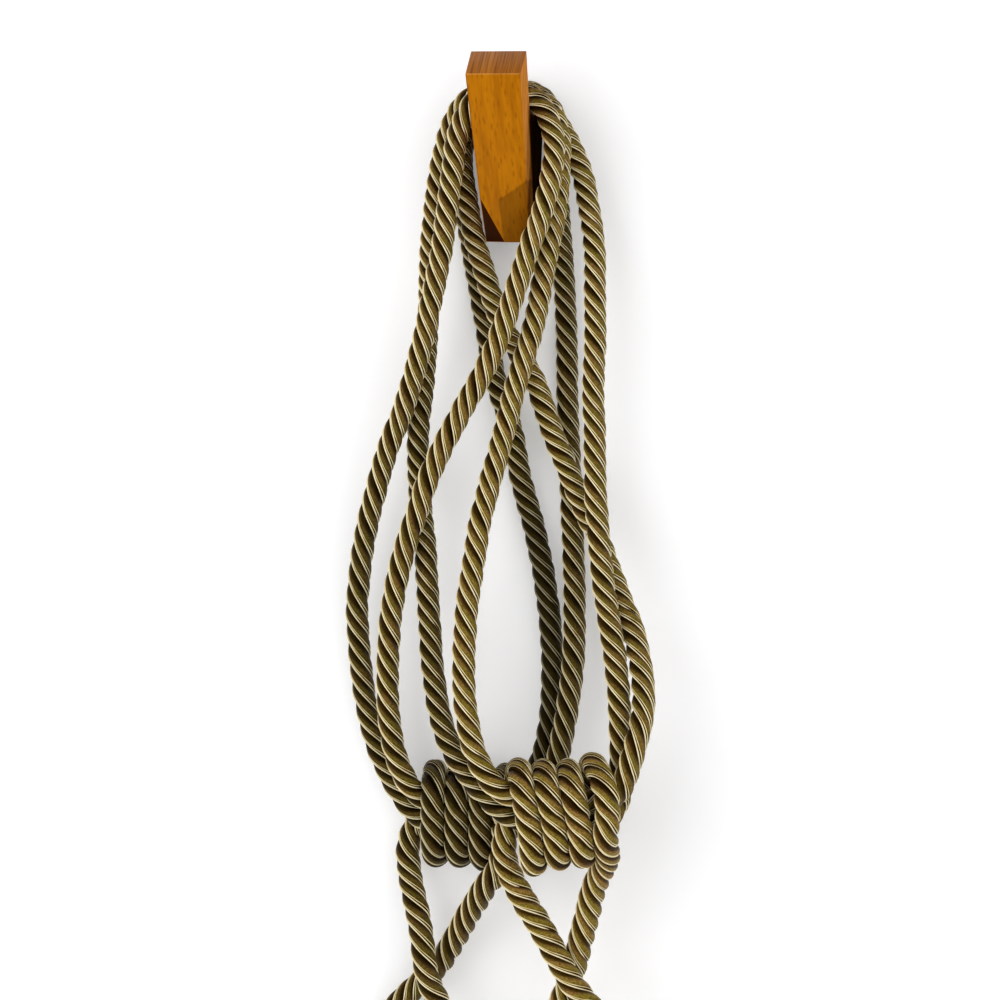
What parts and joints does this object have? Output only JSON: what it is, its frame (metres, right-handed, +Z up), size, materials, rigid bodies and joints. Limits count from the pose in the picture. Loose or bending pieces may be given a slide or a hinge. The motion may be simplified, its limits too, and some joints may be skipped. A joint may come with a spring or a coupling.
{
  "type": "rope curtain tiebacks on a wall hook",
  "caption": "Twisted-rope curtain tiebacks hanging by their long ears over a wooden wall hook, each bound by a wound rope coil that runs on into a loop below.",
  "frame": {"origin": "on the hook's flat back face, straight behind the middle of its horn's upper end, level with the ropes that hang beside it", "axes": "+Z up, +Y into the wall that the back face stands against, -Y out into the room, +X to the right seen from the room"},
  "size_m": [0.1403, 0.0719, 0.461],
  "materials": {
    "rope": "satin",
    "hook_wood": "gloss varnish"
  },
  "bodies": {
    "root": {"hook": "hook_wood", "back_coil": "rope", "back_left_ear": "rope", "back_lower_loop": "rope", "back_right_ear": "rope", "front_coil": "rope", "front_left_ear": "rope", "front_lower_loop": "rope", "front_right_ear": "rope"}
  },
  "joints": []
}
